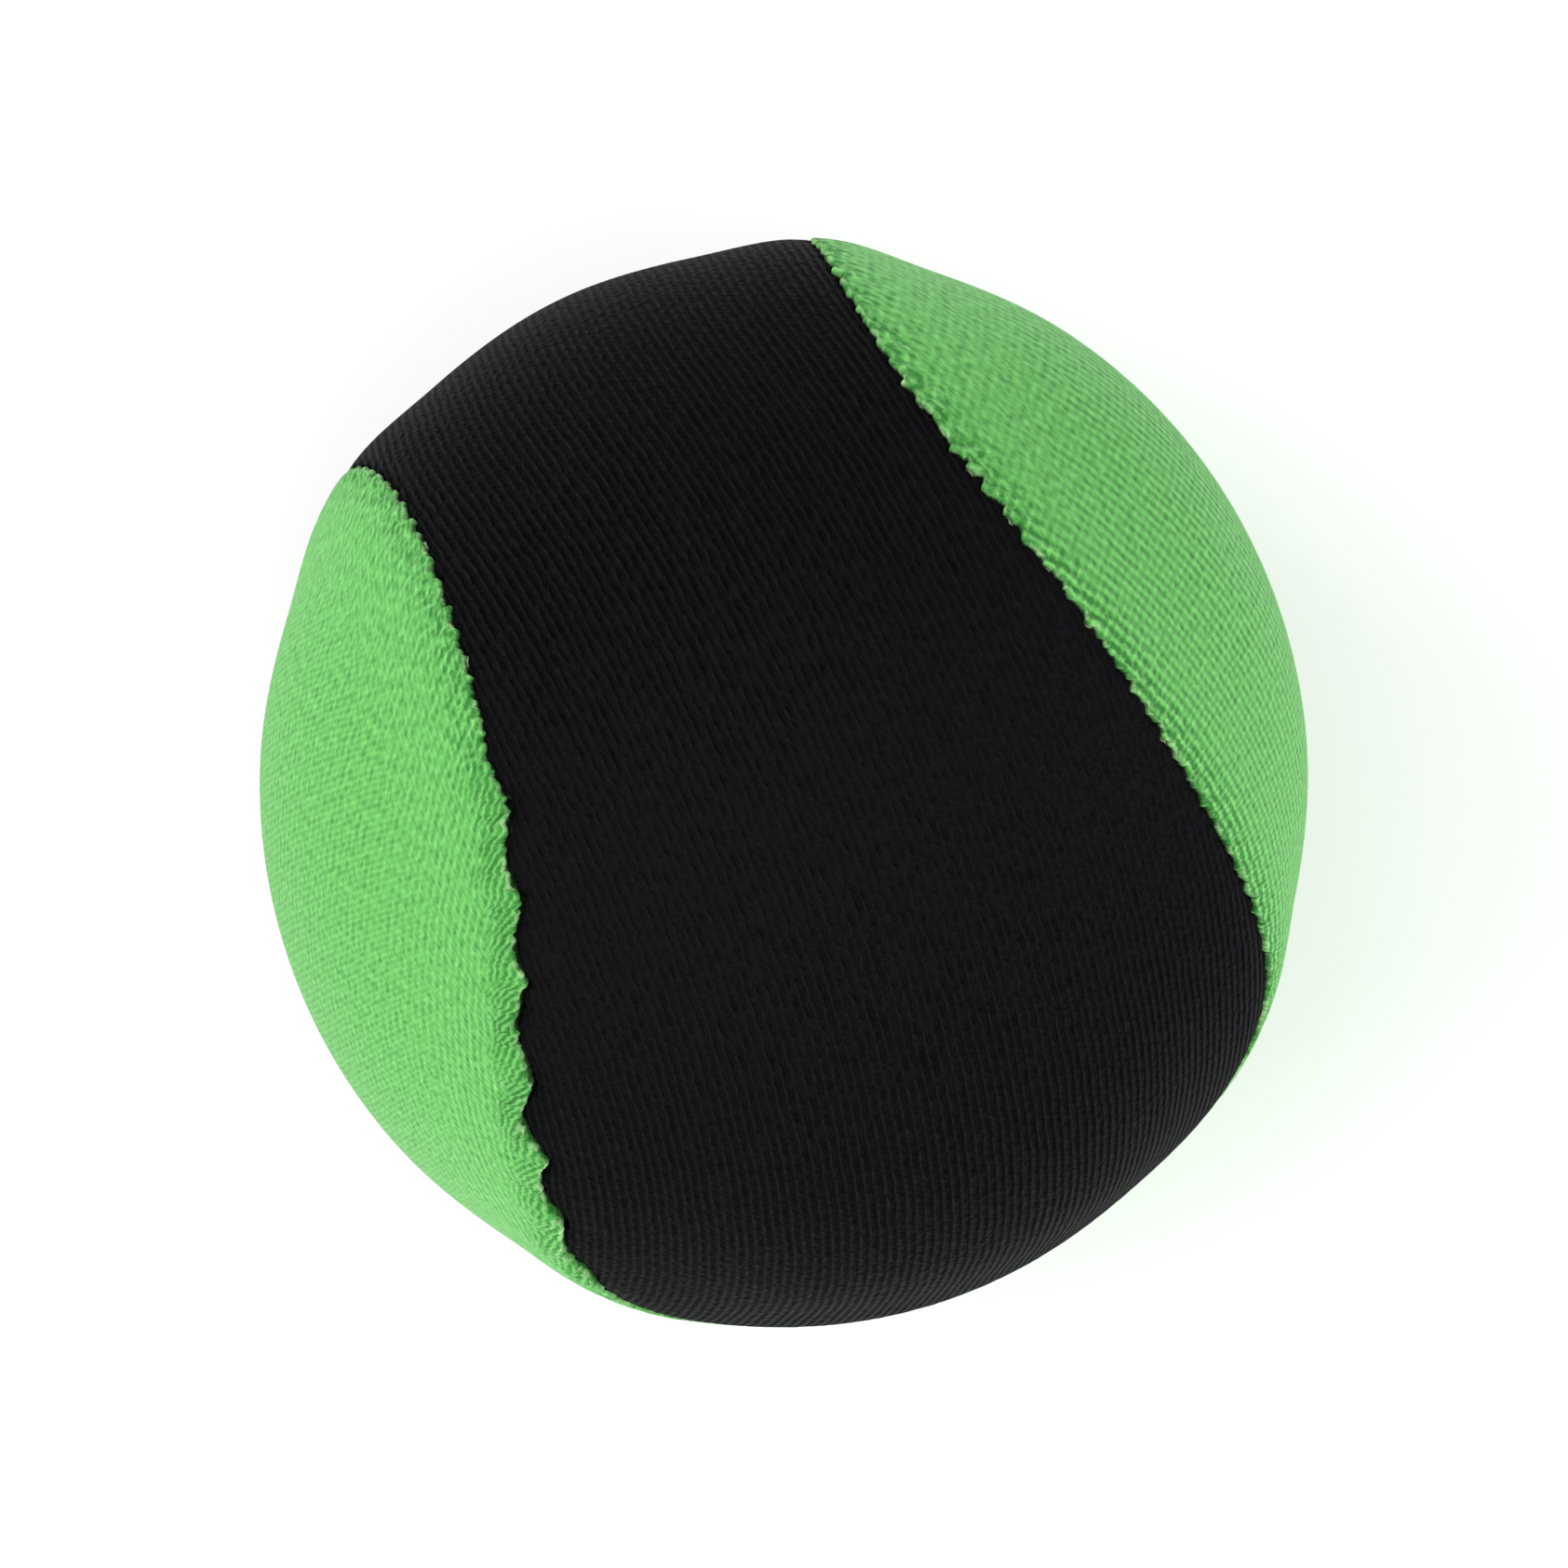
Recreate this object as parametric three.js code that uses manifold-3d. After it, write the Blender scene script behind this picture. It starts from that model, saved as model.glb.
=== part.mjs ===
// A soft juggling ball: a stretch-knit cover of two interlocking panels, sewn together along
// one closed seam, over a rubber bladder filled with gel. Millimetres, +Z up. The ball lies on
// the plane Z = 0 with the middle of its rest patch at the origin.

import * as THREE from 'three';
import Module from 'manifold-3d';

const wasm = await Module();
wasm.setup();

// The ball as it lies.
const BALL_RADIUS = 28;
const REST_PATCH_RADIUS = 7.5;
const STRETCH = new THREE.Vector3(0.988, 1.01, 1);

// The layers, from the outside in.
const COVER_THICKNESS = 0.8;
const LAYER_GAP = 0.3;
const BLADDER_WALL = 1.2;

// The seam: both panels' edges turn inwards side by side and stop at a raw edge.
const SEAM_GAP = 0.5;
const SEAM_ROUNDING = 0.45;
const SEAM_ALLOWANCE = 2;
const RAW_EDGE_THICKNESS = 0.3;
const THREAD_WIDTH = 0.3;
const STITCH_PITCH_STEPS = 0.5;
const LOOPER_GRIP = 0.38; // the share of the allowance's depth that the loopers reach round
const OPENING_FROM = THREE.MathUtils.degToRad(61);
const OPENING_TO = THREE.MathUtils.degToRad(107);

// The fill port of the bladder, on the side away from the black panel's waist.
const PORT_RADIUS = 2.3;
const PORT_HEAD_RADIUS = 3.5;
const PORT_HEAD_DEPTH = 1.6;
const PLUG_RECESS = 0.6;
const PORT_BOSS_RADIUS = 5;
const PORT_BOSS_DEPTH = 3.6;
const ROUND_SIDES = 20;

// The seam is a tennis-ball curve, pushed a little to one side by the sewing. The tips of the
// black panel's lobes are cut a little short and blunt.
const SEAM_WAVE = 0.45;
const SEAM_HEIGHT = 1.14;
const TIP_BLUNTING = 0.34;
const TIP_BLUNTING_POWER = 8;
const SEAM_SLIP = new THREE.Vector3(0.072, 0.047, -0.035);
const SEAM_LOBE_STRETCH = 0.07;
const BLACK_LONG_AXIS = new THREE.Vector3(-1, 1, 0).normalize();
const SEAM_TURN = new THREE.Euler(
  THREE.MathUtils.degToRad(-46),
  THREE.MathUtils.degToRad(-12.5),
  THREE.MathUtils.degToRad(155),
);

// How finely the surfaces are divided: steps round the seam, and across a panel.
const SEAM_STEPS = 64;
const PANEL_COLUMNS = 9;

const CENTRE_HEIGHT = Math.sqrt(BALL_RADIUS ** 2 - REST_PATCH_RADIUS ** 2);
const FIRST_TIP = Math.PI / 4;
const SMALL_TURN = 0.01;
const MERGE_GRID = 1e-4;
const BLACK = { side: 1, tip: SEAM_STEPS / 4 };
const GREEN = { side: -1, tip: 0 };

// ---- Places on the ball ----

// The seam's direction from the ball's centre, for an angle from 0 to 2 pi round the curve.
function seamDirection(angle) {
  const swing = Math.sin(2 * angle);
  const blunting = TIP_BLUNTING * Math.max(0, -swing) ** TIP_BLUNTING_POWER;
  const direction = new THREE.Vector3(
    Math.cos(angle) + SEAM_WAVE * Math.cos(3 * angle),
    Math.sin(angle) - SEAM_WAVE * Math.sin(3 * angle),
    SEAM_HEIGHT * swing * (1 - blunting),
  ).normalize();
  const stretch = SEAM_LOBE_STRETCH * direction.dot(BLACK_LONG_AXIS);
  direction.addScaledVector(BLACK_LONG_AXIS, stretch).add(SEAM_SLIP);
  return direction.normalize().applyEuler(SEAM_TURN);
}

// The seam's direction and the way across it, towards the black panel, at a whole step.
const seamSteps = Array.from({ length: SEAM_STEPS }, (_, step) => {
  const angle = FIRST_TIP + (2 * Math.PI * step) / SEAM_STEPS;
  const direction = seamDirection(angle);
  const ahead = seamDirection(angle + SMALL_TURN).sub(seamDirection(angle - SMALL_TURN));
  return { direction, across: direction.clone().cross(ahead).normalize() };
});

function seamStep(step) {
  return seamSteps[((step % SEAM_STEPS) + SEAM_STEPS) % SEAM_STEPS];
}

// The direction of a place at that width from the seam, positive into the black panel.
function besideSeam(step, width) {
  const { direction, across } = seamStep(step);
  const turn = width / BALL_RADIUS;
  return direction.clone().multiplyScalar(Math.cos(turn)).addScaledVector(across, Math.sin(turn));
}

// A point that deep under the ball's surface. The plane that the ball lies on flattens each
// layer at its own depth, so that the layers stay parallel over the rest patch.
function pointUnder(direction, depth) {
  const point = direction.clone().multiplyScalar(BALL_RADIUS - depth).multiply(STRETCH);
  point.z = Math.max(point.z + CENTRE_HEIGHT, depth);
  return point;
}

// A point of a thread, between two whole steps of the seam.
function pointAlongSeam(place, width, depth) {
  const step = Math.floor(place);
  const from = pointUnder(besideSeam(step, width), depth);
  const to = pointUnder(besideSeam(step + 1, width), depth);
  return from.lerp(to, place - step);
}

function directionBetween(from, to, share) {
  const angle = from.angleTo(to);
  return from.clone().multiplyScalar(Math.sin((1 - share) * angle))
    .addScaledVector(to, Math.sin(share * angle))
    .normalize();
}

// ---- Closed surfaces ----

class Surface {
  points = [];
  triangles = [];

  point(position) {
    this.points.push(position.x, position.y, position.z);
    return this.points.length / 3 - 1;
  }

  triangle(a, b, c, flipped = false) {
    this.triangles.push(...(flipped ? [a, c, b] : [a, b, c]));
  }

  quad(a, b, c, d, flipped = false) {
    this.triangle(a, b, c, flipped);
    this.triangle(a, c, d, flipped);
  }

  // The closed line of points at one width and depth, all round the seam.
  ring([width, depth]) {
    const at = (step) => this.point(pointUnder(besideSeam(step, width), depth));
    return { width, depth, at: Array.from({ length: SEAM_STEPS }, (_, step) => at(step)) };
  }

  // The bands between one ring and the next, facing away from the cross-section's inside.
  bands(rings, flipped = false) {
    for (let i = 1; i < rings.length; i += 1) {
      const [from, to] = [rings[i - 1].at, rings[i].at];
      for (let step = 0; step < SEAM_STEPS; step += 1) {
        const next = (step + 1) % SEAM_STEPS;
        this.quad(to[step], to[next], from[next], from[step], flipped);
      }
    }
  }

  // The middle of a panel inside a ring: rows of points across it, from one tip to the other.
  middle(panel, ring, inwards = false) {
    const flipped = inwards !== panel.side < 0;
    const index = (step) => ((step % SEAM_STEPS) + SEAM_STEPS) % SEAM_STEPS;
    const rowCount = SEAM_STEPS / 2;
    let last = Array(PANEL_COLUMNS + 1).fill(ring.at[index(panel.tip)]);
    for (let row = 1; row <= rowCount; row += 1) {
      const [left, right] = [index(panel.tip - row), index(panel.tip + row)];
      const [from, to] = [besideSeam(left, ring.width), besideSeam(right, ring.width)];
      const points = [ring.at[left]];
      for (let column = 1; column < PANEL_COLUMNS && row < rowCount; column += 1) {
        const direction = directionBetween(from, to, column / PANEL_COLUMNS);
        points.push(this.point(pointUnder(direction, ring.depth)));
      }
      while (points.length <= PANEL_COLUMNS) points.push(ring.at[right]);
      for (let column = 0; column < PANEL_COLUMNS; column += 1) {
        const [a, b] = [last[column], last[column + 1]];
        const [c, d] = [points[column + 1], points[column]];
        if (a !== b) this.triangle(a, b, c, flipped);
        if (c !== d) this.triangle(a, c, d, flipped);
      }
      last = points;
    }
  }

  geometry() {
    const geometry = new THREE.BufferGeometry();
    geometry.setAttribute('position', new THREE.Float32BufferAttribute(this.points, 3));
    geometry.setIndex(this.triangles);
    geometry.computeVertexNormals();
    return geometry;
  }

  solid() {
    return new wasm.Manifold(new wasm.Mesh({
      numProp: 3,
      vertProperties: new Float32Array(this.points),
      triVerts: new Uint32Array(this.triangles),
    }));
  }
}

function geometryOf(solid) {
  const mesh = solid.getMesh();
  const geometry = new THREE.BufferGeometry();
  geometry.setAttribute('position', new THREE.BufferAttribute(mesh.vertProperties, 3));
  geometry.setIndex(new THREE.BufferAttribute(mesh.triVerts, 1));
  geometry.computeVertexNormals();
  return geometry;
}

// ---- The cover ----

// One panel of the cover, a shell whose edge turns in along the whole seam. The turned-in
// allowance gets thinner towards its raw edge, where the overlock threads squeeze it.
function coverPanel(panel) {
  const face = SEAM_GAP / 2;
  const rawEdge = COVER_THICKNESS + SEAM_ALLOWANCE;
  const section = [
    [face + 2 * SEAM_ROUNDING, 0],
    [face + SEAM_ROUNDING / 3, SEAM_ROUNDING / 3],
    [face, SEAM_ROUNDING],
    [face, rawEdge],
    [face + RAW_EDGE_THICKNESS, rawEdge],
    [face + COVER_THICKNESS, COVER_THICKNESS + LAYER_GAP],
    [face + 2 * COVER_THICKNESS, COVER_THICKNESS],
  ];
  const surface = new Surface();
  const rings = section.map(([width, depth]) => surface.ring([panel.side * width, depth]));
  surface.bands(rings, panel.side < 0);
  surface.middle(panel, rings[0]);
  surface.middle(panel, rings[rings.length - 1], true);
  return surface.geometry();
}

// ---- The threads ----

// A square-section thread with mitred corners and flat ends.
function thread(points) {
  const surface = new Surface();
  const ways = points.slice(1).map((point, i) => point.clone().sub(points[i]).normalize());
  const side = ways[0].clone().cross(points[0]).setLength(THREAD_WIDTH / 2);
  const up = ways[0].clone().cross(side).setLength(THREAD_WIDTH / 2);
  const corners = [[1, 1], [-1, 1], [-1, -1], [1, -1]].map(([a, b]) => (
    points[0].clone().addScaledVector(side, a).addScaledVector(up, b)
  ));
  let last = corners.map((corner) => surface.point(corner));
  surface.quad(last[3], last[2], last[1], last[0]);
  for (let i = 1; i < points.length; i += 1) {
    const way = ways[i - 1];
    const mitre = way.clone().add(ways[i] ?? way).normalize();
    for (const corner of corners) {
      const reach = mitre.dot(points[i].clone().sub(corner)) / mitre.dot(way);
      corner.addScaledVector(way, reach);
    }
    const next = corners.map((corner) => surface.point(corner));
    for (let k = 0; k < 4; k += 1) {
      surface.quad(last[k], last[(k + 1) % 4], next[(k + 1) % 4], next[k]);
    }
    last = next;
  }
  surface.quad(...last);
  return surface.geometry();
}

// A thread that goes to and fro between two places of the cross-section, half a stitch apart.
function stitches(fromPlace, toPlace, [nearWidth, nearDepth], [farWidth, farDepth]) {
  const half = STITCH_PITCH_STEPS / 2;
  const count = Math.floor((toPlace - fromPlace) / half);
  return thread(Array.from({ length: count + 1 }, (_, i) => {
    const place = fromPlace + i * half;
    return i % 2
      ? pointAlongSeam(place, farWidth, farDepth)
      : pointAlongSeam(place, nearWidth, nearDepth);
  }));
}

const placeOf = (angle) => ((angle - FIRST_TIP) * SEAM_STEPS) / (2 * Math.PI);
const openingStart = placeOf(OPENING_FROM);
const openingEnd = placeOf(OPENING_TO);
const overlockStart = openingEnd + STITCH_PITCH_STEPS;
const overlockEnd = openingStart + SEAM_STEPS - STITCH_PITCH_STEPS;

// The needle thread lies in the joint between the two panels.
function needleThread() {
  const shallow = [0, COVER_THICKNESS];
  const deep = [0, COVER_THICKNESS + SEAM_ALLOWANCE / 2];
  return stitches(overlockStart, overlockEnd, shallow, deep);
}

// A looper thread lies on one side of the allowance and goes down to the raw edge.
const LOOPER_OFFSET = SEAM_GAP / 2 + COVER_THICKNESS + LAYER_GAP + THREAD_WIDTH / 2;
const LOOPER_DEPTH = COVER_THICKNESS + SEAM_ALLOWANCE + 2 * LAYER_GAP;

function looperThread(side) {
  const onTheFace = [side * LOOPER_OFFSET, COVER_THICKNESS + LOOPER_GRIP * SEAM_ALLOWANCE];
  const atTheEdge = [side * (THREAD_WIDTH + LAYER_GAP / 2), LOOPER_DEPTH];
  return stitches(overlockStart, overlockEnd, onTheFace, atTheEdge);
}

// The hand-sewn thread that closes the opening through which the bladder went in.
function closingThread() {
  const shallow = [0, COVER_THICKNESS / 2 + THREAD_WIDTH];
  const deep = [0, COVER_THICKNESS + SEAM_ALLOWANCE / 2];
  return stitches(openingStart, openingEnd, shallow, deep);
}

// ---- The bladder, its plug and the gel ----

// A solid ball with a valley along the seam that leaves room for the allowance.
function valleyBall(depth, extraWidth) {
  const floorDepth = LOOPER_DEPTH + THREAD_WIDTH / 2 + depth - COVER_THICKNESS;
  const floorWidth = LOOPER_OFFSET + THREAD_WIDTH + extraWidth;
  const rimWidth = floorWidth + 2 * LAYER_GAP;
  const section = [
    [rimWidth, depth],
    [floorWidth, floorDepth],
    [0, floorDepth],
    [-floorWidth, floorDepth],
    [-rimWidth, depth],
  ];
  const surface = new Surface();
  const rings = section.map((place) => surface.ring(place));
  surface.bands(rings);
  surface.middle(BLACK, rings[0]);
  surface.middle(GREEN, rings[rings.length - 1]);
  return surface.solid();
}

// The fill port's axis: outwards, through the middle of the green panel's waist.
const portAxis = new THREE.Vector3(0, 0, -1).applyEuler(SEAM_TURN);
const bladderDepth = COVER_THICKNESS + LAYER_GAP;
const gelDepth = bladderDepth + BLADDER_WALL + LAYER_GAP;

// Turns a shape that stands on +Y round to the port's axis, its top at that depth.
function onPortAxis(geometry, depth) {
  const turn = new THREE.Quaternion().setFromUnitVectors(new THREE.Vector3(0, 1, 0), portAxis);
  const top = pointUnder(portAxis, depth);
  return geometry.applyQuaternion(turn).translate(top.x, top.y, top.z);
}

// A stepped plug shape standing just under the origin. With a clearance it is that much bigger
// all round, and runs up past the bladder's surface, to cut the plug's seat.
function plugShape(clearance, height) {
  const rise = clearance > 0 ? BLADDER_WALL : -PLUG_RECESS;
  const outline = [
    [0, -height],
    [PORT_RADIUS - LAYER_GAP + clearance, -height],
    [PORT_RADIUS - LAYER_GAP + clearance, -PORT_HEAD_DEPTH + LAYER_GAP - clearance],
    [PORT_HEAD_RADIUS - LAYER_GAP + clearance, -PORT_HEAD_DEPTH + LAYER_GAP - clearance],
    [PORT_HEAD_RADIUS - LAYER_GAP + clearance, rise],
    [0, rise],
  ].map(([radius, y]) => new THREE.Vector2(radius, y));
  return new THREE.LatheGeometry(outline, ROUND_SIDES);
}

function bossShape(clearance) {
  const height = PORT_BOSS_DEPTH + clearance;
  const radius = PORT_BOSS_RADIUS + clearance;
  return new THREE.CylinderGeometry(radius, radius, height, ROUND_SIDES).translate(0, -height / 2, 0);
}

// The same closed shape as a manifold solid, with its shared corners merged.
function solidOf(geometry) {
  const surface = new Surface();
  const seen = new Map();
  const position = geometry.getAttribute('position');
  const corner = (i) => {
    const point = new THREE.Vector3().fromBufferAttribute(position, i);
    const key = point.toArray().map((value) => Math.round(value / MERGE_GRID)).join(' ');
    if (!seen.has(key)) seen.set(key, surface.point(point));
    return seen.get(key);
  };
  for (let i = 0; i < geometry.index.count; i += 3) {
    const [a, b, c] = [0, 1, 2].map((k) => corner(geometry.index.getX(i + k)));
    if (a !== b && b !== c && c !== a) surface.triangle(a, b, c);
  }
  return surface.solid();
}

function bladder() {
  const outside = valleyBall(bladderDepth, 0);
  const inside = valleyBall(bladderDepth + BLADDER_WALL, BLADDER_WALL);
  const boss = solidOf(onPortAxis(bossShape(0), bladderDepth - LAYER_GAP)).intersect(outside);
  const port = solidOf(onPortAxis(plugShape(LAYER_GAP, 2 * PORT_BOSS_DEPTH), bladderDepth));
  return geometryOf(outside.subtract(inside).add(boss).subtract(port));
}

function bladderPlug() {
  return onPortAxis(plugShape(0, PORT_BOSS_DEPTH - LAYER_GAP), bladderDepth);
}

function gelFilling() {
  const ball = valleyBall(gelDepth, BLADDER_WALL + LAYER_GAP);
  const boss = solidOf(onPortAxis(bossShape(LAYER_GAP), bladderDepth - LAYER_GAP));
  return geometryOf(ball.subtract(boss));
}

// ---- The assembly ----

const ball = new THREE.Group();
ball.name = 'juggling_ball';

function addPiece(name, geometry, color, roughness) {
  const material = new THREE.MeshStandardMaterial({ color, roughness, metalness: 0 });
  const piece = new THREE.Mesh(geometry, material);
  piece.name = name;
  ball.add(piece);
}

addPiece('cover_panel_green', coverPanel(GREEN), '#76c86a', 0.75);
addPiece('cover_panel_black', coverPanel(BLACK), '#161417', 0.8);
addPiece('overlock_needle_thread', needleThread(), '#a3bb92', 0.7);
addPiece('overlock_upper_looper_thread', looperThread(GREEN.side), '#a3bb92', 0.7);
addPiece('overlock_lower_looper_thread', looperThread(BLACK.side), '#a3bb92', 0.7);
addPiece('closing_thread', closingThread(), '#a3bb92', 0.65);
addPiece('bladder', bladder(), '#d9d4c8', 0.5);
addPiece('bladder_plug', bladderPlug(), '#c9c4b8', 0.55);
addPiece('gel_filling', gelFilling(), '#cfe3ea', 0.25);

export default ball;
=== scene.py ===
"""The visual model of a soft juggling ball: a stretch-knit cover of two interlocking panels,
sewn along one closed seam, over a rubber bladder filled with gel. Metres, in the frame's axes.
"""

import math

import bmesh
import bpy
import mathutils
import numpy as np
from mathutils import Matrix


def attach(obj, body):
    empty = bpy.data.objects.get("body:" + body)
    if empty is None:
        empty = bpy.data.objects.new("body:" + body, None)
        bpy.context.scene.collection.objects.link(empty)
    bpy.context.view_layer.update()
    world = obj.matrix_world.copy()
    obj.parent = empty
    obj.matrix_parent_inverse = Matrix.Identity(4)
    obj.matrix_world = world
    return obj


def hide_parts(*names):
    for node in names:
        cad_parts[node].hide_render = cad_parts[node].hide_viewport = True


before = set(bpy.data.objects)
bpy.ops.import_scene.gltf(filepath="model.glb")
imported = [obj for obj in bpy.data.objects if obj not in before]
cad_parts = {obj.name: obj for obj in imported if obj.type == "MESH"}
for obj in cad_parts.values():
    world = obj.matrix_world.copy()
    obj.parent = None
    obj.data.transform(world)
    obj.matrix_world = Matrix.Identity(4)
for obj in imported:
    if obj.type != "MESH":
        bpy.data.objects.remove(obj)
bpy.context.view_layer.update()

MM = 0.001
TURN = 2 * math.pi

# ---- The ball, in millimetres, as the frame has it ----

BALL_RADIUS = 28.0
REST_PATCH_RADIUS = 7.5
CENTRE_HEIGHT = math.sqrt(BALL_RADIUS**2 - REST_PATCH_RADIUS**2)
STRETCH = np.array([0.988, 1.01, 1.0])
REST_ROUNDING = 0.35  # how softly the surface turns into the rest patch
REST_SHARPENING = 0.25

COVER_THICKNESS = 0.8
LAYER_GAP = 0.3
BLADDER_WALL = 1.2
SEAM_GAP = 0.5
RAW_EDGE_DEPTH = 2.8
THREAD_RADIUS = 0.13
THREAD_SIDES = 8

SEAM_WAVE = 0.45
SEAM_HEIGHT = 1.14
TIP_BLUNTING = 0.34
TIP_BLUNTING_POWER = 8
SEAM_SLIP = np.array([0.072, 0.047, -0.035])
SEAM_LOBE_STRETCH = 0.07
SEAM_TURN_DEG = (-46.0, -12.5, 155.0)
FIRST_TIP = math.pi / 4
OPENING = (math.radians(61), math.radians(107))
FINE_STEPS = 3600
COARSE_STEPS = 400
ANGLE_NUDGE = 1e-3


def turned(points):
    """Points of the seam's own frame, in the frame's axes: turns about X, then Y, then Z."""
    x, y, z = (math.radians(a) for a in SEAM_TURN_DEG)
    about_x = np.array([[1, 0, 0], [0, math.cos(x), -math.sin(x)], [0, math.sin(x), math.cos(x)]])
    about_y = np.array([[math.cos(y), 0, math.sin(y)], [0, 1, 0], [-math.sin(y), 0, math.cos(y)]])
    about_z = np.array([[math.cos(z), -math.sin(z), 0], [math.sin(z), math.cos(z), 0], [0, 0, 1]])
    return np.asarray(points, float) @ (about_x @ about_y @ about_z).T


def unit(v):
    return v / np.linalg.norm(v, axis=-1, keepdims=True)


def smooth(low, high, x):
    """Climbs softly from 0 at low to 1 at high. high may be the smaller one."""
    t = np.clip((x - low) / (high - low), 0, 1)
    return t * t * (3 - 2 * t)


def bell(x, reach):
    """1 at nought, fading out on both sides over about the reach."""
    return np.exp(-((x / reach) ** 2))


def blend(pair, share):
    """From the pair's first number to its second."""
    return pair[0] + (pair[1] - pair[0]) * share


BLACK_LONG = unit(np.array([-1.0, 1.0, 0.0]))
black_long = turned(BLACK_LONG)
green_long = turned(unit(np.array([1.0, 1.0, 0.0])))
black_waist = turned([0.0, 0.0, 1.0])


def seam_direction(angle):
    """The seam's direction from the ball's centre: a tennis-ball curve, a little off centre,
    with the tips of the black panel's lobes cut blunt."""
    swing = np.sin(2 * angle)
    blunting = TIP_BLUNTING * np.maximum(0, -swing) ** TIP_BLUNTING_POWER
    wave = np.stack(
        [
            np.cos(angle) + SEAM_WAVE * np.cos(3 * angle),
            np.sin(angle) - SEAM_WAVE * np.sin(3 * angle),
            SEAM_HEIGHT * swing * (1 - blunting),
        ],
        axis=-1,
    )
    wave = unit(wave)
    stretch = SEAM_LOBE_STRETCH * (wave @ BLACK_LONG)
    return turned(unit(wave + stretch[..., None] * BLACK_LONG + SEAM_SLIP))


class Seam:
    """The seam in equal steps of its angle: directions, the way across it towards the black
    panel, and the place of each step in millimetres along it from the first tip."""

    def __init__(self, steps):
        self.steps = steps
        angles = FIRST_TIP + TURN * np.arange(steps + 1) / steps
        line = seam_direction(angles)
        ahead = seam_direction(angles + ANGLE_NUDGE) - seam_direction(angles - ANGLE_NUDGE)
        chords = BALL_RADIUS * np.linalg.norm(np.diff(line, axis=0), axis=1)
        place = np.concatenate([[0], np.cumsum(chords)])
        self.angles, self.length = angles, place[-1]
        self.line, self.place = line[:-1], place[:-1]
        self.across = unit(np.cross(line, ahead))[:-1]

    def place_at(self, angle):
        return float(np.interp(angle, self.angles[:-1], self.place))

    def beside(self, width):
        """Directions at that width from the seam, positive into the black panel."""
        turn = (np.broadcast_to(width, (self.steps,)) / BALL_RADIUS)[:, None]
        return self.line * np.cos(turn) + self.across * np.sin(turn)

    def point_at(self, place, width, height):
        """Points at places along the seam, which may lie anywhere between the steps."""
        place = np.mod(place, self.length)
        around = np.append(self.place, self.length)
        at = [np.interp(place, around, np.append(c, c[0])) for c in self.line.T]
        over = [np.interp(place, around, np.append(c, c[0])) for c in self.across.T]
        turn = (np.asarray(width) / BALL_RADIUS)[..., None]
        way = unit(np.stack(at, -1)) * np.cos(turn) + unit(np.stack(over, -1)) * np.sin(turn)
        return settled(way, np.asarray(height))


def settled(directions, height):
    """Points that high over the ball's round surface, in millimetres. The ball lies on a
    plane, which flattens every layer at its own depth."""
    points = directions * (BALL_RADIUS + height)[..., None] * STRETCH
    depth = np.maximum(-height, 0)
    above = points[..., 2] + CENTRE_HEIGHT - depth
    above = 0.5 * (above + np.sqrt(above * above + REST_ROUNDING**2))
    overshoot = REST_SHARPENING * REST_ROUNDING**2 * above / (above * above + REST_ROUNDING**2)
    points[..., 2] = above - overshoot + depth
    return points


fine = Seam(FINE_STEPS)
coarse = Seam(COARSE_STEPS)

# ---- The stitches along the seam ----

# The hand-sewn closing draws the green edge into scallops: how far the edge stands out
# towards the black panel, in millimetres, at places in millimetres along the seam.
CLOSING_SCALLOPS = [
    (14.6, 0.05), (17.2, 0.72), (19.4, 0.02), (21.3, 0.62), (24.0, -0.18), (25.4, 0.36),
    (28.3, -0.45), (31.1, 0.28), (33.5, -0.64), (36.2, 0.6), (38.0, -0.18), (41.2, 0.66),
    (43.8, 0.0), (46.8, 0.45), (49.4, 0.1),
]
SCALLOP_SHARPNESS = 1.7
CLOSING_FADES_IN = (13.5, 16.5)  # places along the seam
CLOSING_FADES_OUT = (50.5, 46.5)

OVERLOCK_PITCH = 1.55
PITCH_SPREAD = (0.78, 1.2)  # shares of the pitch, from the shortest stitch to the longest
LAST_STITCH = 0.75  # the least share of the pitch that the last stitch may have
TOOTH_HEIGHTS = (0.1, 0.38)
TOOTH_SHARPNESS = 1.3
TOOTH_MIDDLE = 0.4  # the share of a tooth's height that the smooth course of the edge runs at
TOOTH_POINTS = (0.78, 0.2)  # where along a stitch its tooth's point is, either side of halfway
FRAYING = 0.075

STRAY = 0.1  # how far the seam strays from its smooth course, and how much more at the crest
STRAY_SWING = 0.28
STRAY_CREST = 112  # places along the seam
STRAY_WAVE = 30
STRAY_FADES_IN = (90, 104)
STRAY_FADES_OUT = (170, 150)

opening_from, opening_to = (fine.place_at(a) for a in OPENING)


def stitch_places():
    """The ends of each stitch along the seam, how far its tooth stands out, and where along
    the stitch the tooth's point is. Machine teeth lean towards the hand-sewn closing."""
    rng = np.random.default_rng(7)
    ends = [place for place, shift in CLOSING_SCALLOPS[::2]]
    heights = [0.0] * (len(ends) - 1)
    first, last = ends[0], ends[0] + fine.length
    while ends[-1] < last - LAST_STITCH * OVERLOCK_PITCH:
        ends.append(ends[-1] + OVERLOCK_PITCH * rng.uniform(*PITCH_SPREAD))
        heights.append(rng.uniform(*TOOTH_HEIGHTS))
    ends[-1] = last
    ends = np.array(ends)
    halfway = (first + last) / 2
    points = np.where(ends[:-1] < halfway, *TOOTH_POINTS)
    return ends, np.array(heights), points


stitch_ends, tooth_heights, tooth_points = stitch_places()
closing_stitches = len(CLOSING_SCALLOPS) // 2


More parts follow.
